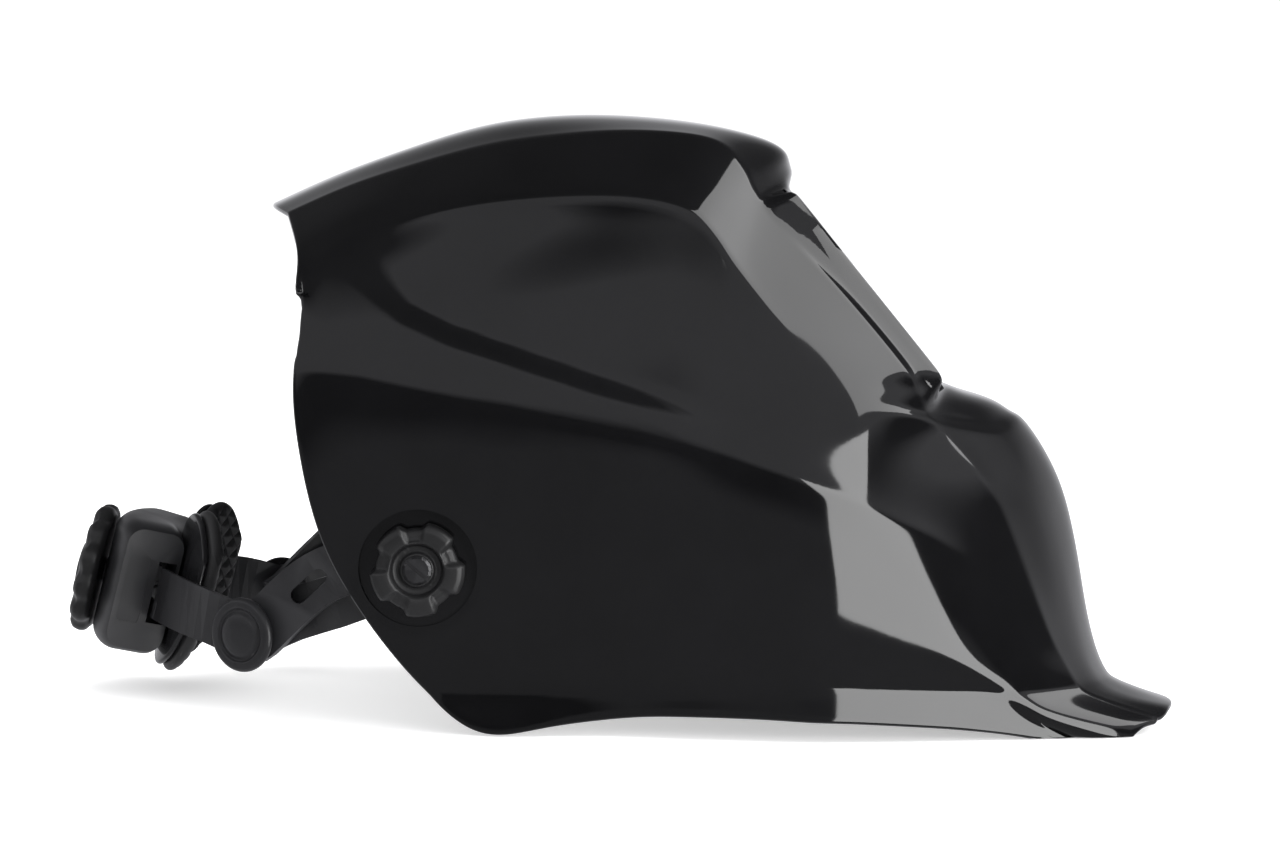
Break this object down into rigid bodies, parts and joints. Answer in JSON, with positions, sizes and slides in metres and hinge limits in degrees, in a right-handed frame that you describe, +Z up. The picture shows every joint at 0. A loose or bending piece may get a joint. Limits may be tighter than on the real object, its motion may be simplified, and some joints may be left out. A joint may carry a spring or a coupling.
{
  "type": "welding helmet",
  "caption": "Flip-up welding helmet: glossy moulded shell, filter cartridge behind a front window, side pivots and ratchet headgear.",
  "frame": {"origin": "centre of the footprint on the surface the helmet stands on, standing on its chin lip and two rear corners", "axes": "+X towards the front of the window and chin, +Y to the wearer's left, +Z up"},
  "size_m": [0.4392, 0.2298, 0.2336],
  "materials": {
    "shell_gloss": "high-gloss black moulded polyamide",
    "black_matte": "fine satin texture, black moulded plastic",
    "black_satin": "satin black injection moulding",
    "strap_plastic": "satin black flexible polyethylene",
    "cover_lens": "clear polycarbonate cover plate",
    "filter_glass": "dark green welding filter glass",
    "solar_film": "dark solar cell film",
    "sensor": "dark red sensor window",
    "grey_plastic": "satin grey dial plastic",
    "red_plastic": "satin red plastic",
    "steel": "plated steel",
    "screw_dark": "black oxide steel",
    "washer_rubber": "black friction rubber",
    "sweat_fabric": "black towelling over foam",
    "pad_rubber": "soft embossed black foam rubber",
    "pad_shell_gloss": "semi-gloss black moulding"
  },
  "bodies": {
    "shell": {"helmet_shell": "shell_gloss", "outer_cover_lens": "cover_lens", "filter_holder": "black_matte", "filter_cartridge": "black_satin", "filter_glass": "filter_glass", "solar_cell": "solar_film", "arc_sensor_L": "sensor", "arc_sensor_R": "sensor", "inner_cover_lens": "cover_lens", "retainer_hinge_pin": "steel", "friction_washer_L": "washer_rubber", "friction_washer_R": "washer_rubber"},
    "battery_tray_left": {"battery_tray_L": "black_satin", "coin_cell_L": "steel"},
    "battery_tray_right": {"battery_tray_R": "black_satin", "coin_cell_R": "steel"},
    "retainer": {"filter_retainer": "black_matte", "retainer_latch": "red_plastic"},
    "shade_dial": {"shade_dial": "grey_plastic"},
    "sensitivity_dial": {"sensitivity_dial": "grey_plastic"},
    "delay_dial": {"delay_dial": "grey_plastic"},
    "test_button": {"test_button": "red_plastic"},
    "knob_left": {"pivot_knob_L": "black_matte", "knob_screw_L": "screw_dark"},
    "knob_right": {"pivot_knob_R": "black_matte", "knob_screw_R": "screw_dark"},
    "pivots": {"pivot_block_L": "black_satin", "pivot_block_R": "black_satin", "pivot_bolt_L": "steel", "pivot_bolt_R": "steel"},
    "headgear": {"front_band": "strap_plastic", "sweatband": "sweat_fabric", "side_arm_L": "strap_plastic", "side_arm_R": "strap_plastic", "pivot_button_L": "black_satin", "pivot_button_R": "black_satin", "crown_strap_L": "strap_plastic", "crown_strap_R": "strap_plastic", "crown_peg": "black_satin", "crown_strap_front": "strap_plastic"},
    "rear_band": {"rear_strap_L": "strap_plastic", "rear_strap_R": "strap_plastic", "ratchet_housing": "black_satin", "rear_pad_shell": "pad_shell_gloss", "rear_pad": "pad_rubber"},
    "ratchet": {"ratchet_pinion": "black_satin", "ratchet_knob": "black_matte", "ratchet_cap": "black_satin"}
  },
  "joints": [
    {"name": "battery_tray_left_slide", "type": "slide", "parent": "shell", "child": "battery_tray_left", "axis": [0, 1, 0], "range_m": [0, 0.006]},
    {"name": "battery_tray_right_slide", "type": "slide", "parent": "shell", "child": "battery_tray_right", "axis": [0, -1, 0], "range_m": [0, 0.006]},
    {"name": "retainer_hinge", "type": "hinge", "parent": "shell", "child": "retainer", "pos_m": [0.04003, 0, 0.19749], "axis": [0, 1, 0], "range_deg": [0, 40]},
    {"name": "shade_dial_turn", "type": "hinge", "parent": "shell", "child": "shade_dial", "pos_m": [0.09584, 0, 0.13816], "axis": [-0.7536, 0, -0.6574], "range_deg": [-135, 135]},
    {"name": "sensitivity_dial_turn", "type": "hinge", "parent": "shell", "child": "sensitivity_dial", "pos_m": [0.09584, 0.019, 0.13816], "axis": [-0.7536, 0, -0.6574], "range_deg": [-135, 135]},
    {"name": "delay_dial_turn", "type": "hinge", "parent": "shell", "child": "delay_dial", "pos_m": [0.09584, -0.019, 0.13816], "axis": [-0.7536, 0, -0.6574], "range_deg": [-135, 135]},
    {"name": "test_button_press", "type": "slide", "parent": "shell", "child": "test_button", "axis": [0.7536, 0, 0.6574], "range_m": [0, 0.0008], "stiffness_N_per_m": 300},
    {"name": "knob_left_turn", "type": "hinge", "parent": "pivots", "child": "knob_left", "pos_m": [-0.07776, 0.103, 0.06192], "axis": [0, 1, 0], "range_deg": [-30, 330]},
    {"name": "knob_right_turn", "type": "hinge", "parent": "pivots", "child": "knob_right", "pos_m": [-0.07776, -0.103, 0.06192], "axis": [0, -1, 0], "range_deg": [-30, 330]},
    {"name": "headgear_tilt", "type": "hinge", "parent": "shell", "child": "pivots", "pos_m": [-0.07776, 0, 0.06192], "axis": [0, 1, 0], "range_deg": [-8, 50]},
    {"name": "headgear_reach", "type": "slide", "parent": "pivots", "child": "headgear", "axis": [0.9993, 0, 0.0384], "range_m": [-0.008, 0.008]},
    {"name": "rear_band_swivel", "type": "hinge", "parent": "headgear", "child": "rear_band", "pos_m": [-0.13864, 0, 0.03156], "axis": [0, 1, 0], "range_deg": [-4, 4]},
    {"name": "ratchet_turn", "type": "hinge", "parent": "rear_band", "child": "ratchet", "pos_m": [-0.18876, 0, 0.04203], "axis": [-0.9789, 0, 0.2045], "range_deg": [-180, 360]}
  ]
}
